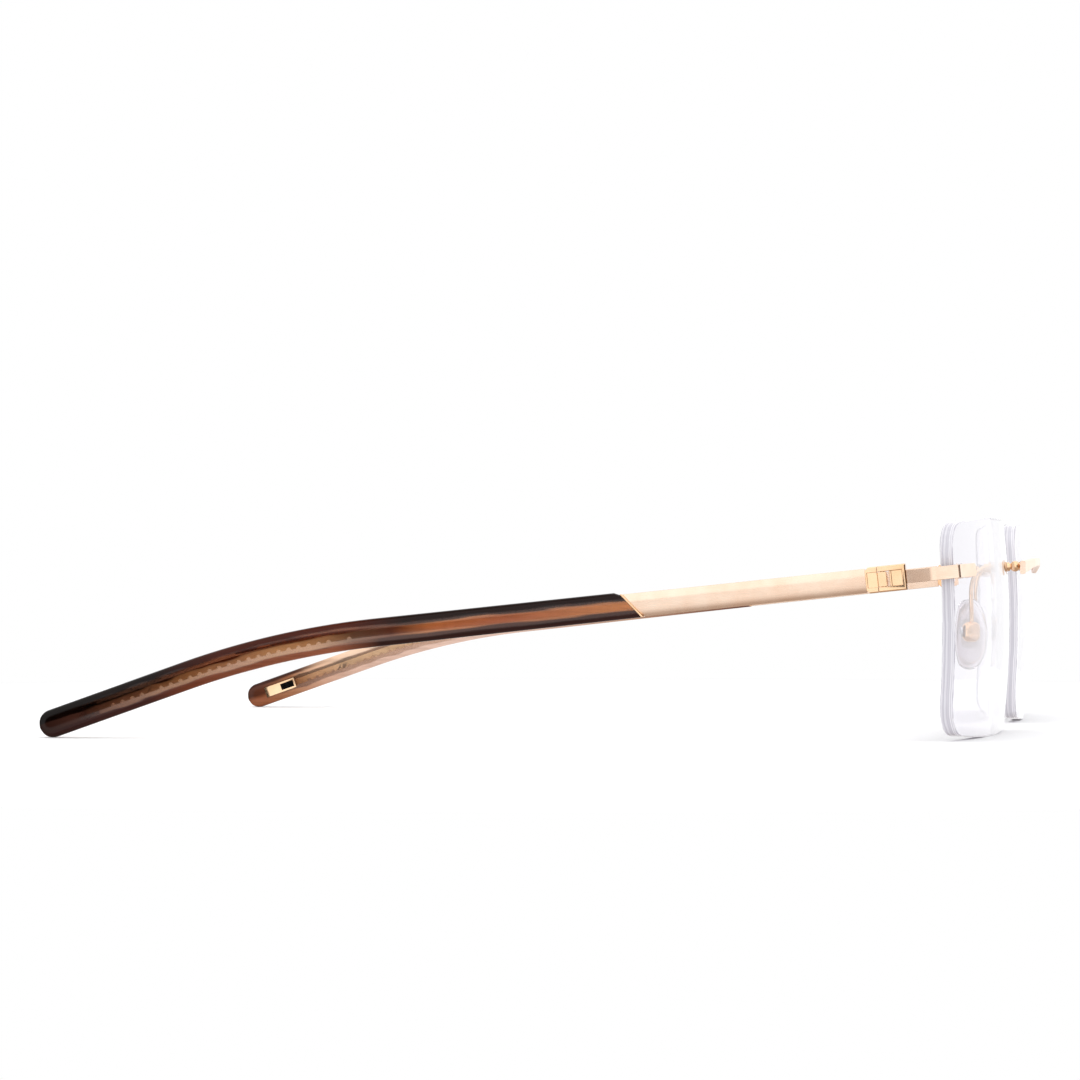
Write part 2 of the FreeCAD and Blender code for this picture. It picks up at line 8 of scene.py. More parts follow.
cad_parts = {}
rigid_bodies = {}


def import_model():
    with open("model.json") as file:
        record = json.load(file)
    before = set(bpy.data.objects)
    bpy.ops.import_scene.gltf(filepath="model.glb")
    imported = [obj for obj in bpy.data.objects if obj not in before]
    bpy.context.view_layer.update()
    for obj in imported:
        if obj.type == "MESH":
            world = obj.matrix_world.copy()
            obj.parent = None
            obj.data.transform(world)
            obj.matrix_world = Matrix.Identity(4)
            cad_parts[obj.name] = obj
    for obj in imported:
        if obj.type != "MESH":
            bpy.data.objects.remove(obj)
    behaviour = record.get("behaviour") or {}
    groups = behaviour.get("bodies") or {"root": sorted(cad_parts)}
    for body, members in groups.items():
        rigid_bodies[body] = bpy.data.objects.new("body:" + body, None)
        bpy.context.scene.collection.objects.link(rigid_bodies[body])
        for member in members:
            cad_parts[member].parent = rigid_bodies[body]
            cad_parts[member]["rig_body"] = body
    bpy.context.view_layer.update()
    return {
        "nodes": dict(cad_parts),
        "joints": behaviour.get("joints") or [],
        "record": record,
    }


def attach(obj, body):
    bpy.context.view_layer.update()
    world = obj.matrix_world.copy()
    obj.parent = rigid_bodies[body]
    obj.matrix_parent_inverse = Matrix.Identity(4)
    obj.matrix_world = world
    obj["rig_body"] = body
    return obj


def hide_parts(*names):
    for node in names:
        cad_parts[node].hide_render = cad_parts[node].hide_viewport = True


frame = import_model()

# Sizes are written in millimetres and scaled by MM. The wearer's left is +X and the front is -Y.
MM = 0.001
SIDES = ("left", "right")
MIRROR = Matrix.Diagonal((-1, 1, 1, 1))


# ---------------------------------------------------------------- helpers

def linear(hex_colour):
    """sRGB hex to the linear colour that the shaders take."""
    out = []
    for i in (0, 2, 4):
        c = int(hex_colour[i:i + 2], 16) / 255
        out.append(c / 12.92 if c <= 0.04045 else ((c + 0.055) / 1.055) ** 2.4)
    return (*out, 1.0)


def add(tree, kind, settings=None, links=None):
    """One node: settings are its properties and unlinked inputs, links its linked inputs."""
    node = tree.nodes.new(kind)
    for name, value in (settings or {}).items():
        if isinstance(name, str) and hasattr(node, name) and name not in node.inputs:
            setattr(node, name, value)
        else:
            node.inputs[name].default_value = value
    for name, socket in (links or {}).items():
        tree.links.new(socket, node.inputs[name])
    return node


def new_material(name):
    material = bpy.data.materials.new(name)
    material.use_nodes = True
    tree = material.node_tree
    tree.nodes.clear()
    return material, tree


def finish_material(tree, settings, links=None):
    shader = add(tree, "ShaderNodeBsdfPrincipled", settings, links)
    add(tree, "ShaderNodeOutputMaterial", links={"Surface": shader.outputs[0]})


def grain(tree, stretch, per_mm, detail=3.0):
    """Noise in object coordinates, in cells per millimetre, drawn out by stretch along x, y and z."""
    place = add(tree, "ShaderNodeTexCoord")
    mapped = add(tree, "ShaderNodeMapping", {"Scale": [per_mm / MM / s for s in stretch]},
                 {"Vector": place.outputs["Object"]})
    return add(tree, "ShaderNodeTexNoise", {"Scale": 1.0, "Detail": detail, "Roughness": 0.55},
               {"Vector": mapped.outputs[0]}).outputs["Fac"]


def spread(tree, value, low, high, to_low, to_high):
    """Maps low..high onto to_low..to_high, smoothly and without running past the ends."""
    settings = {"interpolation_type": "SMOOTHSTEP", "From Min": low, "From Max": high,
                "To Min": to_low, "To Max": to_high}
    return add(tree, "ShaderNodeMapRange", settings, {"Value": value}).outputs[0]


def between(tree, share, first, second):
    """A colour from first to second by share; each is a hex colour or a socket."""
    node = add(tree, "ShaderNodeMix", {"data_type": "RGBA"})
    for socket, value in zip((node.inputs[0], node.inputs[6], node.inputs[7]), (share, first, second)):
        if isinstance(value, str):
            socket.default_value = linear(value)
        elif isinstance(value, float):
            socket.default_value = value
        else:
            tree.links.new(value, socket)
    return node.outputs[2]


def bumped(tree, height, distance_mm, strength):
    return add(tree, "ShaderNodeBump", {"Strength": strength, "Distance": distance_mm * MM},
               {"Height": height}).outputs[0]


def worked(tree, operation, a, b):
    """Two shader values put through a maths operation, such as ADD or MULTIPLY."""
    return add(tree, "ShaderNodeMath", {"operation": operation}, {0: a, 1: b}).outputs[0]


def mesh_object(name, bm, materials):
    """A linked object from the bmesh, which is used up."""
    mesh = bpy.data.meshes.new(name)
    bm.to_mesh(mesh)
    bm.free()
    for material in materials:
        mesh.materials.append(material)
    thing = bpy.data.objects.new(name, mesh)
    bpy.context.scene.collection.objects.link(thing)
    return thing


def baked(thing):
    """Applies the modifiers to the mesh itself."""
    bpy.context.view_layer.update()
    graph = bpy.context.evaluated_depsgraph_get()
    mesh = bpy.data.meshes.new_from_object(thing.evaluated_get(graph), preserve_all_data_layers=True,
                                           depsgraph=graph)
    thing.modifiers.clear()
    thing.data = mesh
    return thing


def smooth(thing, sharp_degrees):
    thing.data.shade_smooth()
    thing.data.set_sharp_from_angle(angle=math.radians(sharp_degrees))
    return thing


def stands_for(thing, node):
    """The piece takes the place and the motion of the CAD node."""
    body = frame["nodes"][node]["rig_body"]
    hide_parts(node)
    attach(thing, body)
    return thing


SLOT_OF = {sub["node"]: sub["material_slot"] for sub in frame["record"]["subparts"]}
JOINT = {joint["name"]: joint for joint in frame["joints"]}

# ---------------------------------------------------------------- camera and studio

CAMERA_PLACE = (-757.115, -121.589, 29.546)
CAMERA_YAW, CAMERA_PITCH = 9.7565, 0.1642
CAMERA_LENS, SENSOR_WIDTH = 147.75, 36.0
TABLE_RADIUS = 260.0
SOFTBOX_PLACE, SOFTBOX_SIDE, SOFTBOX_WATTS = (-100.0, -100.0, 700.0), 500.0, 1.2
# how bright the tent is in gloss, on matt surfaces, and behind or through the spectacles
GLOSS_LIGHT, MATT_LIGHT, SEEN_LIGHT = 1.35, 1.1, 1.0
# the tent in gloss is shaded from just under the horizon (sine of the height) down to the lower limit
SHADE_FROM, SHADE_TO, SHADE = -0.02, -0.6, "A89C94"
# dark flags hung in it: direction, degrees of full shade around that, degrees at which it ends, colour
FLAGS = (((-0.966, 0.26, 0.0), 5.0, 8.0, "1E1A18"), ((0.1, -1.0, 0.1), 24, 44, "463C36"),
         ((0.1, 1.0, 0.1), 22, 42, "463C36"), ((-0.1, 0.0, 1.0), 16, 32, "1E1814"),
         ((-0.55, -0.83, 0.05), 14, 30, "7A6C64"))


def make_camera():
    data = bpy.data.cameras.new("camera")
    camera = bpy.data.objects.new("camera", data)
    bpy.context.scene.collection.objects.link(camera)
    camera.location = Vector(CAMERA_PLACE) * MM
    yaw, pitch = math.radians(CAMERA_YAW), math.radians(CAMERA_PITCH)
    ahead = Vector((math.cos(yaw) * math.cos(pitch), math.sin(yaw) * math.cos(pitch), math.sin(pitch)))
    camera.rotation_euler = ahead.to_track_quat("-Z", "Y").to_euler()
    data.lens = CAMERA_LENS
    data.sensor_width = SENSOR_WIDTH
    data.clip_start = 0.01
    bpy.context.scene.camera = camera


def make_floor():
    bm = bmesh.new()
    bmesh.ops.create_circle(bm, cap_ends=True, segments=96, radius=TABLE_RADIUS * MM)
    material, tree = new_material("matt white acrylic table")
    # faint mottling, about 40 mm across
    mottle = between(tree, grain(tree, (1, 1, 1), 1 / 40), "F9F9FA", "FBFBFC")
    finish_material(tree, {"Roughness": 0.7}, {"Base Color": mottle})
    table = mesh_object("table", bm, [material])
    table.visible_glossy = False  # gloss sees the tent's own darker underside instead


def make_softbox():
    """A square lamp above, pointed at the spectacles."""
    data = bpy.data.lights.new("top softbox", "AREA")
    data.shape = "RECTANGLE"
    data.size = data.size_y = SOFTBOX_SIDE * MM
    data.energy = SOFTBOX_WATTS
    lamp = bpy.data.objects.new("top softbox", data)
    bpy.context.scene.collection.objects.link(lamp)
    lamp.location = Vector(SOFTBOX_PLACE) * MM
    lamp.rotation_euler = (-lamp.location).to_track_quat("-Z", "Y").to_euler()


def make_world():
    """A white tent: even for the table and behind the piece, shaded low down and flagged for gloss."""
    world = bpy.data.worlds.new("white studio tent")
    bpy.context.scene.world = world
    world.use_nodes = True
    tree = world.node_tree
    tree.nodes.clear()
    way = add(tree, "ShaderNodeTexCoord").outputs["Generated"]
    height = add(tree, "ShaderNodeSeparateXYZ", links={0: way}).outputs["Z"]

    def flag(direction, inner, outer):
        """1 inside a cone of inner degrees round the direction, 0 outside outer degrees."""
        toward = Vector(direction).normalized()
        dot = add(tree, "ShaderNodeVectorMath", {"operation": "DOT_PRODUCT", 1: toward}, {0: way})
        edges = [math.cos(math.radians(angle)) for angle in (outer, inner)]
        return spread(tree, dot.outputs["Value"], *edges, 0.0, 1.0)

    tent = between(tree, spread(tree, height, SHADE_TO, SHADE_FROM, 1.0, 0.0), "FFFFFF", SHADE)
    for direction, inner, outer, shade in FLAGS:
        tent = between(tree, flag(direction, inner, outer), tent, shade)
    gloss = add(tree, "ShaderNodeBackground", {"Strength": GLOSS_LIGHT}, {"Color": tent})
    white = {"Color": linear("FFFFFF")}
    seen = add(tree, "ShaderNodeBackground", {**white, "Strength": SEEN_LIGHT})
    matt = add(tree, "ShaderNodeBackground", {**white, "Strength": MATT_LIGHT})
    path = add(tree, "ShaderNodeLightPath")
    light = seen
    for ray, source in (("Is Glossy Ray", gloss), ("Is Transmission Ray", seen), ("Is Diffuse Ray", matt)):
        light = add(tree, "ShaderNodeMixShader",
                    links={0: path.outputs[ray], 1: light.outputs[0], 2: source.outputs[0]})
    add(tree, "ShaderNodeOutputWorld", links={"Surface": light.outputs[0]})


make_camera()
make_floor()
make_world()
make_softbox()
bpy.context.scene.view_settings.view_transform = "Standard"

# ---------------------------------------------------------------- materials


def lens_resin():
    material, tree = new_material("clear CR-39 lens resin")
    # a trace of lavender from the coating, in patches about 15 mm across
    tint = between(tree, grain(tree, (1, 1, 1), 1 / 15, 1.0), "EDEBF1", "EFEDF3")
    finish_material(tree, {"Roughness": 0.0, "IOR": 1.5, "Transmission Weight": 1.0}, {"Base Color": tint})
    return material


def ground_edge():
    """The rim: its own attribute across runs from 0 at the front rim to 1 at the rear rim."""
    material, tree = new_material("ground and polished resin edge")
    across = add(tree, "ShaderNodeAttribute", {"attribute_name": "across"}).outputs["Fac"]
    # polishing lines round the rim, a seventh of its 2 mm apart, which wander over 4 mm
    wander = spread(tree, grain(tree, (1, 1, 1), 1 / 4, 1.0), 0.3, 0.7, -0.03, 0.03)
    place = worked(tree, "ADD", across, wander)
    lines = add(tree, "ShaderNodeTexNoise", {"noise_dimensions": "1D", "Scale": 7.0, "Detail": 2.0},
                {"W": place}).outputs["Fac"]
    finish_material(tree, {"IOR": 1.5, "Transmission Weight": 0.15},
                    {"Base Color": between(tree, spread(tree, lines, 0.35, 0.65, 0.0, 1.0), "CFCCD6", "EFEDF3"),
                     "Roughness": spread(tree, lines, 0.3, 0.7, 0.15, 0.3)})
    return material


def plated(name, dark, light, rough_low, rough_high, stretch, per_mm, depth_mm):
    """A metal finish with fine marks drawn out by stretch, and a tone that shifts over 4 mm."""
    material, tree = new_material(name)
    marks = grain(tree, stretch, per_mm, 4.0)
    tone = spread(tree, grain(tree, (1, 1, 1), 0.25, 2.0), 0.3, 0.7, 0.0, 1.0)
    finish_material(tree, {"Metallic": 1.0},
                    {"Base Color": between(tree, tone, dark, light),
                     "Roughness": spread(tree, marks, 0.25, 0.75, rough_low, rough_high),
                     "Normal": bumped(tree, marks, depth_mm, 0.6)})
    return material


def horn_acetate():
    """Streaked horn sheet: its own attributes along and rise are in mm, outward is -1 inside and 1 outside."""
    material, tree = new_material("polished horn cellulose acetate")
    along, rise, outward = (add(tree, "ShaderNodeAttribute", {"attribute_name": name}).outputs["Fac"]
                            for name in ("along", "rise", "outward"))

    def run(*stops):
        """Colours along the temple; each stop is a distance from the hinge in mm and a colour."""
        first, last = stops[0][0], stops[-1][0]
        share = add(tree, "ShaderNodeMapRange", {"From Min": first, "From Max": last}, {"Value": along})
        node = add(tree, "ShaderNodeValToRGB", links={"Fac": share.outputs[0]})
        elements = node.color_ramp.elements
        while len(elements) < len(stops):
            elements.new(0.5)
        for element, (distance, _) in zip(elements, stops):  # all places before any colour
            element.position = (distance - first) / (last - first)
        for element, (_, colour) in zip(elements, stops):
            element.color = linear(colour)
        return node.outputs["Color"]

    # the layers waver by 0.15 mm over 12 mm and dip past the bend; streaks are 0.5 mm high, 12 mm long
    waver = spread(tree, grain(tree, (1, 12, 1.5), 1.0, 1.0), 0.3, 0.7, -0.15, 0.15)
    dip = spread(tree, along, 79, 92, 0.0, 0.5)
    level = worked(tree, "ADD", rise, waver)
    lower = worked(tree, "ADD", level, dip)
    streaks = spread(tree, grain(tree, (1, 12, 0.5), 1.0, 3.0), 0.4, 0.75, 0.0, 0.4)

    # outer face: dark top layer, amber middle, brown bottom
    top = run((40, "1A0B08"), (76, "1C0C08"), (86, "481808"), (106, "401507"), (117, "0E0402"), (138, "080302"))
    amber = run((40, "D88C54"), (60, "B4623A"), (72, "C07040"), (78, "5C3022"), (84, "6C4C3C"),
                (91, "BE8C66"), (97, "BE8C66"), (104, "AC7A5C"), (112, "946442"), (120, "6C4632"),
                (130, "40241C"), (138, "20100C"))
    low = run((40, "2C1715"), (80, "26110D"), (88, "8A5038"), (104, "78422C"), (112, "66321E"),
              (119, "381A16"), (138, "2A1412"))
    outer = between(tree, spread(tree, lower, 0.6, 0.95, 0.0, 1.0), amber, top)
    outer = between(tree, spread(tree, lower, -0.9, -0.6, 1.0, 0.0), outer, low)

    # inner face: pale above, rosy below, with a dark upper corner towards the end
    pale = run((40, "7A4A34"), (60, "C8987A"), (90, "F0D0B4"), (116, "F0CEB2"), (123, "E0B494"),
               (128, "96603F"), (134, "5A3222"), (138, "4A281C"))
    rosy = run((40, "6A3E2E"), (60, "B08870"), (90, "E4C4B4"), (116, "D8B29E"), (123, "C89A80"),
               (128, "A87454"), (134, "94583A"), (138, "8C5034"))
    inner = between(tree, spread(tree, level, -1.0, 0.2, 1.0, 0.0), pale, rosy)
    corner = worked(tree, "MULTIPLY", spread(tree, level, 1.4, 1.9, 0.0, 1.0),
                    spread(tree, along, 118, 128, 0.0, 1.0))
    inner = between(tree, corner, inner, "3A1608")

    colour = between(tree, spread(tree, outward, -0.1, 0.1, 0.0, 1.0), inner, outer)
    colour = between(tree, streaks, colour, between(tree, 0.5, colour, "241008"))
    # clear enough to show the core, except in the dark layers and at the end
    heart = worked(tree, "MULTIPLY", spread(tree, level, 0.9, 1.5, 1.0, 0.0),
                   spread(tree, level, -1.6, -1.1, 0.0, 1.0))
    zone = worked(tree, "MULTIPLY", heart, spread(tree, along, 127, 133, 1.0, 0.0))
    finish_material(tree, {"Roughness": 0.05, "IOR": 1.48, "Specular IOR Level": 0.15},
                    {"Base Color": colour, "Transmission Weight": spread(tree, zone, 0.0, 1.0, 0.04, 0.8)})
    return material


def silicone():
    material, tree = new_material("clear silicone rubber")
    skin = grain(tree, (1, 1, 1), 3.0, 2.0)  # cells of a third of a millimetre
    finish_material(tree, {"IOR": 1.41, "Transmission Weight": 0.88},
                    {"Base Color": between(tree, skin, "F2EDF0", "FBF8F9"),
                     "Roughness": spread(tree, skin, 0.3, 0.7, 0.10, 0.2)})
    return material


def nylon():
    material, tree = new_material("clear nylon")
    haze = grain(tree, (1, 1, 1), 2.0, 2.0)  # half-millimetre haze
    finish_material(tree, {"IOR": 1.53, "Transmission Weight": 0.9, "Roughness": 0.12},
                    {"Base Color": between(tree, haze, "F8F6F3", "FCFBF9")})
    return material


def enamel():
    material, tree = new_material("black enamel")
    ripple = grain(tree, (1, 1, 1), 1.5, 2.0)  # two-thirds of a millimetre
    finish_material(tree, {"IOR": 1.5},
                    {"Base Color": between(tree, ripple, "060606", "12100F"),
                     "Roughness": spread(tree, ripple, 0.3, 0.7, 0.06, 0.14)})
    return material


# colours, roughness, stretch, marks per mm and their depth in mm: tumbling marks 0.2 mm apart, brush
# lines 0.08 mm apart and 5 mm long, drawing lines 0.17 mm apart and 3.3 mm long, turning marks 0.17 mm
FINISH = {
    "clear_lens": lens_resin(),
    "polished_gold": plated("polished rose gold plating", "EFC69C", "F5D0AA", 0.10, 0.16,
                            (1, 1, 1), 5.0, 0.0004),
    "brushed_gold": plated("brushed rose gold plating", "F3D4BC", "F8DFCA", 0.24, 0.34,
                           (1, 60, 1), 12.0, 0.002),
    "core_metal": plated("satin nickel silver", "E6D3B4", "F6E8CE", 0.3, 0.45, (1, 20, 1), 6.0, 0.004),
    "bright_steel": plated("bright stainless steel", "D6D6D8", "E8E8EA", 0.12, 0.22, (1, 1, 1), 6.0, 0.002),
    "horn_acetate": horn_acetate(),
    "clear_silicone": silicone(),
    "clear_nylon": nylon(),
    "black_enamel": enamel(),
}
EDGE = ground_edge()
for name, node in frame["nodes"].items():
    for socket in node.material_slots:
        socket.material = FINISH[SLOT_OF[name]]

# ---------------------------------------------------------------- metal pieces with eased edges

WELD = 0.0005  # vertices of the CAD mesh closer than this are one
FLAT_DEGREES, SHARP_DEGREES = 0.5, 35  # merged below the first, an edge above the second
LENS_SHARP, TIP_SHARP, PAD_SHARP = 20, 50, 80  # edges over this many degrees stay sharp
# widths of the rounding
EASING = {"hinge_block": 0.09, "hinge_tongue": 0.09, "end_piece": 0.12, "ferrule": 0.05,
          "pad_arm": 0.04, "bridge_stud": 0.05, "bridge_nut": 0.06, "end_nut": 0.06, "end_screw": 0.05,
          "hinge_screw": 0.05, "pad_screw": 0.04, "pad_box": 0.05}
BRIDGE_EASE, BAR_EASE = 0.16, 0.05


def eased(node, width_mm, segments=2):
    """The CAD piece with its sharp edges rounded, as plated metal's edges are."""
    bm = bmesh.new()
    bm.from_mesh(frame["nodes"][node].data)
    bmesh.ops.remove_doubles(bm, verts=bm.verts, dist=WELD * MM)
    bmesh.ops.dissolve_limit(bm, angle_limit=math.radians(FLAT_DEGREES), verts=bm.verts, edges=bm.edges)
    bmesh.ops.recalc_face_normals(bm, faces=bm.faces)
    thing = mesh_object(node + "_eased", bm, [FINISH[SLOT_OF[node]]])
    ease(thing, width_mm, segments)
    return stands_for(thing, node)


def ease(thing, width_mm, segments):
    """Rounds the sharp edges and keeps the faces between them flat."""
    smooth(thing, SHARP_DEGREES)
    bevel = thing.modifiers.new("eased edges", "BEVEL")
    bevel.harden_normals = True
    bevel.width = width_mm * MM
    bevel.segments = segments
    bevel.limit_method = "ANGLE"
    bevel.angle_limit = math.radians(SHARP_DEGREES)
    baked(thing)


eased("bridge", BRIDGE_EASE, 3)
for side in SIDES:
    for piece, width in EASING.items():
        eased(f"{piece}_{side}", width)

# ---------------------------------------------------------------- lenses

LENS_MIDDLE = (39.2, -73.3725, 17.6)
LENS_WRAP = 5.0
LENS_RADIUS, LENS_THICK = 145.0, 2.0
LENS_HOLES = ((-24.0, 9.6), (24.0, 9.119))
HOLE_RADIUS = 0.77
RIM_POINTS, LENS_RINGS = 200, 14
RIM_EASE = 0.12  # the small safety bevel round both rims
DRILL_LONG = 8.0


def outline(points):
    """The convex outline of flat points, in order."""
    points = sorted(set(points))
    hull = []
    for row in (points, points[::-1]):
        part = []
        for p in row:
            while len(part) > 1 and ((part[-1][0] - part[-2][0]) * (p[1] - part[-2][1])
                                     <= (part[-1][1] - part[-2][1]) * (p[0] - part[-2][0])):
                part.pop()
            part.append(p)
        hull += part[:-1]
    return hull


def evenly(loop, count):
    """A closed loop of points at even distances."""
    loop = [Vector(p) for p in loop]
    steps = [(loop[(i + 1) % len(loop)] - loop[i]).length for i in range(len(loop))]
    pitch, out, i, gone = sum(steps) / count, [], 0, 0.0
    for k in range(count):
        while gone + steps[i] < k * pitch:
            gone += steps[i]
            i += 1
        out.append(loop[i].lerp(loop[(i + 1) % len(loop)], (k * pitch - gone) / steps[i]))
    for _ in range(2):
        out = [(out[i - 1] + 2 * out[i] + out[(i + 1) % count]) / 4 for i in range(count)]
    return out


def on_lens(u, v, radius, back=0.0):
    """A point of the lens's own frame on the sphere of that radius, moved backwards."""
    return Vector((u, LENS_RADIUS - math.sqrt(radius * radius - u * u - v * v) + back, v))


def lens_rings(rim):
    """Rings of points from the front's middle over the edge to the back's middle."""
    rings = []
    for radius, way in ((LENS_RADIUS, 1), (LENS_RADIUS - LENS_THICK, -1)):
        loops = []
        for k in range(1, LENS_RINGS + 1):
            inset = RIM_EASE if k == LENS_RINGS else 0
            loop = [p * (k / LENS_RINGS) for p in rim]
            loops.append([on_lens(*(p - p.normalized() * inset), radius) for p in loop])
        edge = [on_lens(*p, radius, RIM_EASE * way) for p in rim]
        rings += loops + [edge] if way > 0 else [edge] + loops[::-1]
    return rings


def drill(lens, place):
    """Cuts the two holes, which get the edge's material."""
    bm = bmesh.new()
    for u, v in LENS_HOLES:
        middle = place @ Matrix.Translation(on_lens(u, v, LENS_RADIUS) * MM)
        bmesh.ops.create_cone(bm, cap_ends=True, segments=32, radius1=HOLE_RADIUS * MM,
                              radius2=HOLE_RADIUS * MM, depth=DRILL_LONG * MM,
                              matrix=middle @ Matrix.Rotation(math.pi / 2, 4, "X"))
    bmesh.ops.recalc_face_normals(bm, faces=bm.faces)
    cutter = mesh_object("drill", bm, [FINISH["clear_lens"], EDGE])
    for polygon in cutter.data.polygons:
        polygon.material_index = 1
    cut = lens.modifiers.new("holes", "BOOLEAN")
    cut.object = cutter
    cut.operation = "DIFFERENCE"
    baked(lens)
    bpy.data.objects.remove(cutter)


def make_lens(side):
    node = "lens_" + side
    place = (Matrix.Translation(Vector(LENS_MIDDLE) * MM)
             @ Matrix.Rotation(math.radians(LENS_WRAP), 4, "Z"))
    place = MIRROR @ place if side == "right" else place
    back = place.inverted()
    flat = [(back @ v.co) / MM for v in frame["nodes"][node].data.vertices]
    rim = evenly(outline([(round(p.x, 3), round(p.z, 3)) for p in flat]), RIM_POINTS)

    bm = bmesh.new()
    across = bm.verts.layers.float.new("across")
    made = [[bm.verts.new(place @ (p * MM)) for p in ring] for ring in lens_rings(rim)]
    for ring in made[LENS_RINGS + 1:]:
        for v in ring:
            v[across] = 1.0
    edge_faces = (LENS_RINGS - 1, LENS_RINGS, LENS_RINGS + 1)
    for r in range(len(made) - 1):
        for k in range(RIM_POINTS):
            n = (k + 1) % RIM_POINTS
            face = bm.faces.new((made[r][k], made[r][n], made[r + 1][n], made[r + 1][k]))
            face.material_index = 1 if r in edge_faces else 0
    for ring, radius in ((made[0], LENS_RADIUS), (made[-1], LENS_RADIUS - LENS_THICK)):
        middle = bm.verts.new(place @ (on_lens(0, 0, radius) * MM))
        for k in range(RIM_POINTS):
            bm.faces.new((middle, ring[k], ring[(k + 1) % RIM_POINTS]))
    bmesh.ops.recalc_face_normals(bm, faces=bm.faces)
    lens = mesh_object(node + "_polished", bm, [FINISH["clear_lens"], EDGE])
    drill(lens, place)
    smooth(lens, LENS_SHARP)
    return stands_for(lens, node)


# ---------------------------------------------------------------- temple tips

TEMPLE_SPLAY = 1.0
BEND_START, BEND_RADIUS, BEND_ANGLE, TIP_STRAIGHT = 80.5, 136.0, 13.4, 23.0
BEND_LENGTH = BEND_RADIUS * math.radians(BEND_ANGLE)
TEMPLE_LENGTH = BEND_START + BEND_LENGTH + TIP_STRAIGHT
CUT_AT, CUT_LEAN = 39.75, 0.78
TIP_HIGH, TIP_THICK, TIP_MIDDLE = 4.5, 2.6, 0.3
TIP_FRONT_LOW, TAPER_END, TIP_ROUND = 2.0, 78.0, 0.75
TIP_POLISH = 0.01  # taken off each face in polishing
NOSE_CHAMFER = (0.87, 0.45)  # the small slant at the acetate's top front corner, along and down
LEAN_FADE = 8.0  # the rings lean with the slanted front end and stand square this far behind it
TIP_STEP, END_STEP = 1.0, 6  # ring to ring along the tip, and in degrees round its end
FACE_FADE = 0.5  # over this depth the horn passes from its inner to its outer colours


def temple_frame(side):
    """Where the temple's own axes lie: y along the temple from the hinge pin, z up, x outwards."""
    hinge = JOINT["left_temple_fold"]
    slope = math.atan2(hinge["axis"][1], hinge["axis"][2])
    left = (Matrix.Translation(Vector(hinge["pos_m"])) @ Matrix.Rotation(-slope, 4, "X")
            @ Matrix.Rotation(-math.radians(TEMPLE_SPLAY), 4, "Z"))
    return MIRROR @ left if side == "right" else left


def on_temple(s, rise, x):
    """A point of the temple's bent middle line, raised square to it."""
    if s <= BEND_START:
        return Vector((x, s, rise))
    turned = math.radians(BEND_ANGLE) * min(1.0, (s - BEND_START) / BEND_LENGTH)
    y = BEND_START + BEND_RADIUS * math.sin(turned)
    z = -BEND_RADIUS * (1 - math.cos(turned))
    beyond = max(0.0, s - BEND_START - BEND_LENGTH)
    y += beyond * math.cos(turned) + rise * math.sin(turned)
    z += -beyond * math.sin(turned) + rise * math.cos(turned)
    return Vector((x, y, z))


def section(low, high, half_thick, radius, steps=4):
    """Rounded rectangle, as (x, rise) points in order."""
    radius = max(0.02, min(radius, (high - low) / 2 - 0.01, half_thick - 0.01))
    out = []
    for x_way, z_way, start in ((1, 1, 0), (-1, 1, 90), (-1, -1, 180), (1, -1, 270)):
        cx = x_way * (half_thick - radius)
        cz = high - radius if z_way > 0 else low + radius
        for k in range(steps + 1):
            angle = math.radians(start + 90 * k / steps)
            out.append((cx + radius * math.cos(angle), cz + radius * math.sin(angle)))
    return out


def make_tip(side):
    node = "temple_tip_" + side
    place = temple_frame(side)
    half = TIP_HIGH / 2
    stations = [CUT_AT, CUT_AT + 0.03, CUT_AT + NOSE_CHAMFER[0]]
    s = CUT_AT + 2.0
    while s < TEMPLE_LENGTH - 0.01:
        stations.append(s)
        s += TIP_STEP
    round_end = [TEMPLE_LENGTH + half * math.sin(math.radians(a)) for a in range(0, 90, END_STEP)]
    bm = bmesh.new()
    marks = [bm.verts.layers.float.new(name) for name in ("along", "rise", "outward")]
    rings = []
    for s in stations + round_end:
        beyond = max(0.0, s - TEMPLE_LENGTH)
        high = half if beyond == 0 else math.sqrt(half * half - beyond * beyond)
        low = -high
        if s < TAPER_END:
            low = -TIP_FRONT_LOW - (half - TIP_FRONT_LOW) * (s - CUT_AT) / (TAPER_END - CUT_AT)
        to_end = TEMPLE_LENGTH + half - s
        thick = TIP_THICK / 2 - TIP_POLISH
        if to_end < TIP_ROUND:
            thick += -TIP_ROUND + math.sqrt(TIP_ROUND ** 2 - (TIP_ROUND - to_end) ** 2)
        if s < CUT_AT + NOSE_CHAMFER[0] - 0.001:
            high -= NOSE_CHAMFER[1] * (1 - (s - CUT_AT) / NOSE_CHAMFER[0])
        leaning = CUT_LEAN * max(0.0, 1 - (s - CUT_AT) / LEAN_FADE)
        ring = []
        for x, rise in section(low, high, thick, TIP_ROUND):
            v = bm.verts.new(place @ (on_temple(s + leaning * rise, rise, TIP_MIDDLE + x) * MM))
            outward = max(-1.0, min(1.0, x / FACE_FADE))
            for mark, value in zip(marks, (s + leaning * rise, rise, outward)):
                v[mark] = value
            ring.append(v)
        rings.append(ring)
    count = len(rings[0])
    for a, b in zip(rings, rings[1:]):
        for k in range(count):
            bm.faces.new((a[k], a[(k + 1) % count], b[(k + 1) % count], b[k]))
    bm.faces.new(rings[0])
    bm.faces.new(rings[-1][::-1])
    bmesh.ops.recalc_face_normals(bm, faces=bm.faces)
    tip = mesh_object(node + "_horn", bm, [FINISH["horn_acetate"]])
    smooth(tip, TIP_SHARP)
    return stands_for(tip, node)


# ---------------------------------------------------------------- temple bars

BAR_TO, BAR_LEAN = 39.4, 0.78
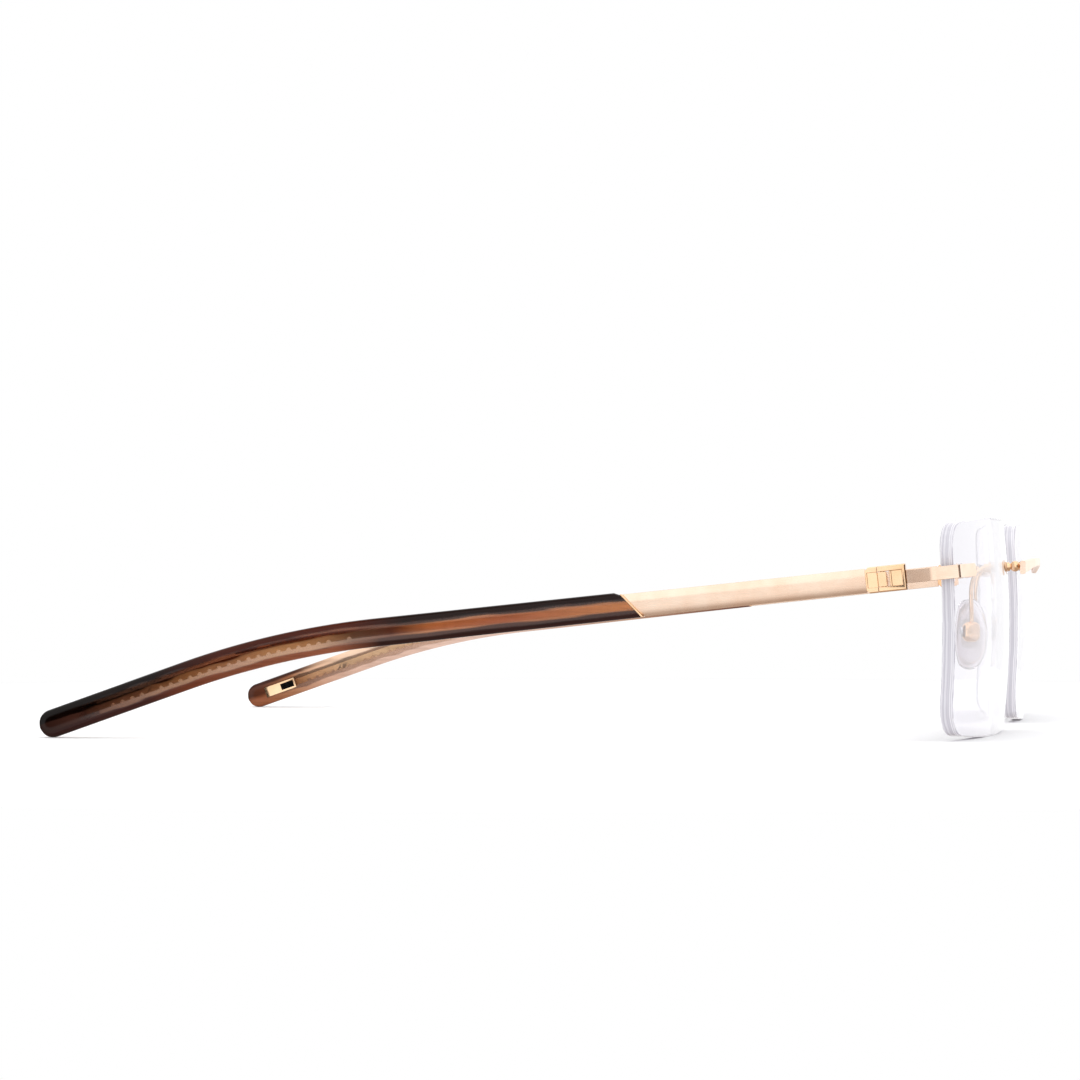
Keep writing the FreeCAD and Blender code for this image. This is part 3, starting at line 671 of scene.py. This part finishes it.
# section as x and rise, from the inner top corner: flat bevel on top, then an outer face that rolls away
BAR_SECTION = ((-0.35, 1.9), (0.65, 1.9), (0.95, 0.9), (0.95, 0.5), (0.94, 0.0), (0.91, -0.5),
               (0.86, -0.95), (0.78, -1.35), (0.68, -1.65), (0.55, -1.9), (-0.35, -1.9))


def make_bar(side):
    node = "temple_bar_" + side
    place = temple_frame(side)
    low, high = bar_ends(node, place)
    bm = bmesh.new()
    count = len(BAR_SECTION)
    rings = [[bm.verts.new(place @ (Vector((x, y + lean * rise, rise)) * MM)) for x, rise in BAR_SECTION]
             for y, lean in ((low, 0.0), (high, BAR_LEAN))]
    for k in range(count):
        n = (k + 1) % count
        bm.faces.new((rings[0][k], rings[0][n], rings[1][n], rings[1][k]))
    for ring in rings:
        bm.faces.new(ring)
    bmesh.ops.recalc_face_normals(bm, faces=bm.faces)
    bar = mesh_object(node + "_brushed", bm, [FINISH["brushed_gold"]])
    ease(bar, BAR_EASE, 2)
    return stands_for(bar, node)


def bar_ends(node, place):
    """Where the CAD bar starts and where its slanted end crosses the middle line."""
    back = place.inverted()
    flat = [(back @ v.co) / MM for v in frame["nodes"][node].data.vertices]
    ends = [p.y - BAR_LEAN * p.z for p in flat if p.y > BAR_TO / 2]
    return min(p.y for p in flat), max(ends)


# ---------------------------------------------------------------- core wire, by Geometry Nodes

CORE_HIGH, CORE_THICK, CORE_FROM, CORE_STEP = 1.1, 0.9, 39.4, 1.5
CORE_SHORT = 5.3  # the wire ends this far before the tip's round end starts
NOTCH_RADIUS, NOTCH_PITCH, NOTCH_FROM, NOTCH_TO = 0.42, 1.66, 85.0, 125.0


def node_group(name, inputs):
    group = bpy.data.node_groups.new(name, "GeometryNodeTree")
    group.interface.new_socket("Geometry", in_out="INPUT", socket_type="NodeSocketGeometry")
    for label, kind in inputs:
        group.interface.new_socket(label, in_out="INPUT", socket_type=kind)
    group.interface.new_socket("Geometry", in_out="OUTPUT", socket_type="NodeSocketGeometry")
    return group, group.nodes.new("NodeGroupInput").outputs


def close_group(group, geometry, material):
    whole = add(group, "GeometryNodeRealizeInstances", links={0: geometry})
    painted = add(group, "GeometryNodeSetMaterial", links={"Geometry": whole.outputs[0], "Material": material})
    add(group, "NodeGroupOutput", links={0: painted.outputs[0]})


def apply_group(thing, group, values):
    modifier = thing.modifiers.new(group.name, "NODES")
    modifier.node_group = group
    for item in group.interface.items_tree:
        if item.in_out == "INPUT" and item.name in values:
            modifier[item.identifier] = values[item.name]
    return baked(thing)


def notched_wire():
    """Flat wire along the mesh line it is given, with round notches in its lower edge."""
    lengths = ("Height", "Thickness", "Notch radius", "Notch pitch", "First notch", "Last notch")
    group, given = node_group("notched core wire", [(label, "NodeSocketFloat") for label in lengths]
                              + [("Material", "NodeSocketMaterial")])
    line = add(group, "GeometryNodeMeshToCurve", links={0: given["Geometry"]})
    upright = add(group, "GeometryNodeSetCurveNormal", {"mode": "Z_UP"}, {"Curve": line.outputs[0]})
    profile = add(group, "GeometryNodeCurvePrimitiveQuadrilateral",
                  links={"Width": given["Thickness"], "Height": given["Height"]})
    wire = add(group, "GeometryNodeCurveToMesh", {"Fill Caps": True},
               {"Curve": upright.outputs[0], "Profile Curve": profile.outputs[0]})
    part = add(group, "GeometryNodeTrimCurve", {"mode": "LENGTH"}, {"Curve": upright.outputs[0]})
    group.links.new(given["First notch"], part.inputs[4])
    group.links.new(given["Last notch"], part.inputs[5])
    spots = add(group, "GeometryNodeCurveToPoints", {"mode": "LENGTH"},
                {"Curve": part.outputs[0], "Length": given["Notch pitch"]})
    down = add(group, "ShaderNodeVectorMath", {"operation": "CROSS_PRODUCT"},
               {0: spots.outputs["Tangent"], 1: spots.outputs["Normal"]})
    half = add(group, "ShaderNodeMath", {"operation": "MULTIPLY", 1: 0.5}, {0: given["Height"]})
    aside = add(group, "ShaderNodeVectorMath", {"operation": "SCALE"},
                {0: down.outputs[0], "Scale": half.outputs[0]})
    lowest = add(group, "ShaderNodeSeparateXYZ", links={0: aside.outputs[0]})
    sign = add(group, "ShaderNodeMath", {"operation": "SIGN"}, {0: lowest.outputs["Z"]})
    flip = add(group, "ShaderNodeMath", {"operation": "MULTIPLY", 1: -1.0}, {0: sign.outputs[0]})
    below = add(group, "ShaderNodeVectorMath", {"operation": "SCALE"},
                {0: aside.outputs[0], "Scale": flip.outputs[0]})
    moved = add(group, "GeometryNodeSetPosition",
                links={"Geometry": spots.outputs[0], "Offset": below.outputs[0]})
    bit = add(group, "GeometryNodeMeshCylinder", {"Vertices": 20},
              {"Radius": given["Notch radius"], "Depth": given["Height"]})
    # laid across the wire, and twice as long as the wire is high so that it comes out on both sides
    laid = {"Rotation": (0.0, math.pi / 2, 0.0), "Scale": (1.0, 1.0, 2.0)}
    cross = add(group, "GeometryNodeTransform", laid, {"Geometry": bit.outputs[0]})
    drills = add(group, "GeometryNodeInstanceOnPoints",
                 links={"Points": moved.outputs[0], "Instance": cross.outputs[0]})
    solid = add(group, "GeometryNodeRealizeInstances", links={0: drills.outputs[0]})
    cut = add(group, "GeometryNodeMeshBoolean", {"operation": "DIFFERENCE"})
    group.links.new(wire.outputs[0], cut.inputs[0])
    group.links.new(solid.outputs[0], cut.inputs[1])
    close_group(group, cut.outputs[0], given["Material"])
    return group


def make_core(side, group):
    node = "core_wire_" + side
    end = TEMPLE_LENGTH - CORE_SHORT
    count = int((end - CORE_FROM) / CORE_STEP)
    bm = bmesh.new()
    points = [bm.verts.new(on_temple(CORE_FROM + (end - CORE_FROM) * k / count, 0, TIP_MIDDLE) * MM)
              for k in range(count + 1)]
    for a, b in zip(points, points[1:]):
        bm.edges.new((a, b))
    core = mesh_object(node + "_notched", bm, [FINISH["core_metal"]])
    apply_group(core, group, {"Height": CORE_HIGH * MM, "Thickness": CORE_THICK * MM,
                              "Notch radius": NOTCH_RADIUS * MM, "Notch pitch": NOTCH_PITCH * MM,
                              "First notch": (NOTCH_FROM - CORE_FROM) * MM,
                              "Last notch": (NOTCH_TO - CORE_FROM) * MM, "Material": FINISH["core_metal"]})
    settle(core, temple_frame(side))
    smooth(core, SHARP_DEGREES)
    return stands_for(core, node)


def settle(thing, place):
    """Puts the place into the mesh and turns the faces outwards again after a mirror."""
    bm = bmesh.new()
    bm.from_mesh(thing.data)
    bmesh.ops.transform(bm, matrix=place, verts=bm.verts)
    bmesh.ops.recalc_face_normals(bm, faces=bm.faces)
    bm.to_mesh(thing.data)
    bm.free()


# ---------------------------------------------------------------- plaque

PLAQUE_HIGH, PLAQUE_BACK, PLAQUE_PROUD = 2.0, 4.6, 0.05
RIB_FROM, RIB_COUNT, RIB_PITCH, RIB_RADIUS = 0.25, 7, 0.38, 0.13
RIB_SHARE = 0.8  # a rib's length as a share of the plaque's height


def ribbed():
    """A row of rounded ribs, joined to the plate that it is given."""
    group, given = node_group("plaque ribs", [
        ("Ribs", "NodeSocketInt"), ("First rib", "NodeSocketVector"), ("Step", "NodeSocketVector"),
        ("Radius", "NodeSocketFloat"), ("Length", "NodeSocketFloat"), ("Across", "NodeSocketRotation"),
        ("Material", "NodeSocketMaterial")])
    row = add(group, "GeometryNodeMeshLine",
              links={"Count": given["Ribs"], "Start Location": given["First rib"], "Offset": given["Step"]})
    bar = add(group, "GeometryNodeMeshCylinder", {"Vertices": 12},
              {"Radius": given["Radius"], "Depth": given["Length"]})
    ribs = add(group, "GeometryNodeInstanceOnPoints",
               links={"Points": row.outputs[0], "Instance": bar.outputs[0], "Rotation": given["Across"]})
    joined = add(group, "GeometryNodeJoinGeometry")
    group.links.new(given["Geometry"], joined.inputs[0])
    group.links.new(ribs.outputs[0], joined.inputs[0])
    close_group(group, joined.outputs[0], given["Material"])
    return group


def make_plaque(side, group):
    node = "plaque_" + side
    place = temple_frame(side)
    bm = bmesh.new()
    bm.from_mesh(frame["nodes"][node].data)
    bmesh.ops.remove_doubles(bm, verts=bm.verts, dist=WELD * MM)
    bmesh.ops.transform(bm, matrix=place.inverted(), verts=bm.verts)
    bmesh.ops.recalc_face_normals(bm, faces=bm.faces)
    plaque = mesh_object(node + "_ribbed", bm, [FINISH["polished_gold"]])
    tilt = -math.radians(BEND_ANGLE)
    middle = on_temple(TEMPLE_LENGTH - PLAQUE_BACK, 0, TIP_MIDDLE - TIP_THICK / 2 - PLAQUE_PROUD + RIB_RADIUS)
    step = Vector((0, math.cos(tilt), math.sin(tilt)))
    apply_group(plaque, group, {"Ribs": RIB_COUNT, "First rib": (middle + step * RIB_FROM) * MM,
                                "Step": step * RIB_PITCH * MM, "Radius": RIB_RADIUS * MM,
                                "Length": PLAQUE_HIGH * RIB_SHARE * MM, "Across": (tilt, 0.0, 0.0),
                                "Material": FINISH["polished_gold"]})
    settle(plaque, place)
    smooth(plaque, SHARP_DEGREES)
    return stands_for(plaque, node)


# ---------------------------------------------------------------- nose pads

PAD_MIDDLE, PAD_SPLAY, PAD_TILT = (13.3, -67.1725, 16.3), 12.0, 10.0
PAD_BACK, PAD_THICK, PAD_WIDE, PAD_TALL = 1.9, 2.4, 7.3, 12.0


# half section from the back's middle to the front's: share of the half width, share of the thickness
PAD_SECTION = ((0.5, 0.06), (0.8, 0.03), (0.92, 0.08), (0.985, 0.22), (1.0, 0.42), (0.985, 0.6),
               (0.93, 0.75), (0.82, 0.87), (0.64, 0.95), (0.4, 0.99))
PAD_NARROWING = 0.08  # narrower at the top than in the middle by this share
PAD_AROUND = 72


def make_pad(side):
    """An oval cushion: flat behind, domed towards the nose, with a full round rim."""
    node = "nose_pad_" + side
    place = (Matrix.Translation(Vector(PAD_MIDDLE) * MM) @ Matrix.Rotation(-math.radians(PAD_SPLAY), 4, "Z")
             @ Matrix.Rotation(-math.radians(PAD_TILT), 4, "Y"))
    place = MIRROR @ place if side == "right" else place
    bm = bmesh.new()
    rings = []
    for share, deep in PAD_SECTION:
        ring = []
        for k in range(PAD_AROUND):
            angle = 2 * math.pi * k / PAD_AROUND
            narrow = 1 - PAD_NARROWING * math.sin(angle)
            wide = PAD_WIDE / 2 * share * narrow / (1 + PAD_NARROWING)
            point = Vector((-PAD_BACK - PAD_THICK * deep, wide * math.cos(angle),
                            PAD_TALL / 2 * share * math.sin(angle)))
            ring.append(bm.verts.new(place @ (point * MM)))
        rings.append(ring)
    for a, b in zip(rings, rings[1:]):
        for k in range(PAD_AROUND):
            n = (k + 1) % PAD_AROUND
            bm.faces.new((a[k], a[n], b[n], b[k]))
    for ring, deep in ((rings[0], PAD_SECTION[0][1]), (rings[-1], 1.0)):
        middle = bm.verts.new(place @ (Vector((-PAD_BACK - PAD_THICK * deep, 0, 0)) * MM))
        for k in range(PAD_AROUND):
            bm.faces.new((middle, ring[k], ring[(k + 1) % PAD_AROUND]))
    bmesh.ops.recalc_face_normals(bm, faces=bm.faces)
    pad = mesh_object(node + "_domed", bm, [FINISH["clear_silicone"]])
    smooth(pad, PAD_SHARP)
    return stands_for(pad, node)


core_group, rib_group = notched_wire(), ribbed()
for side in SIDES:
    make_lens(side)
    make_tip(side)
    make_bar(side)
    make_core(side, core_group)
    make_plaque(side, rib_group)
    make_pad(side)
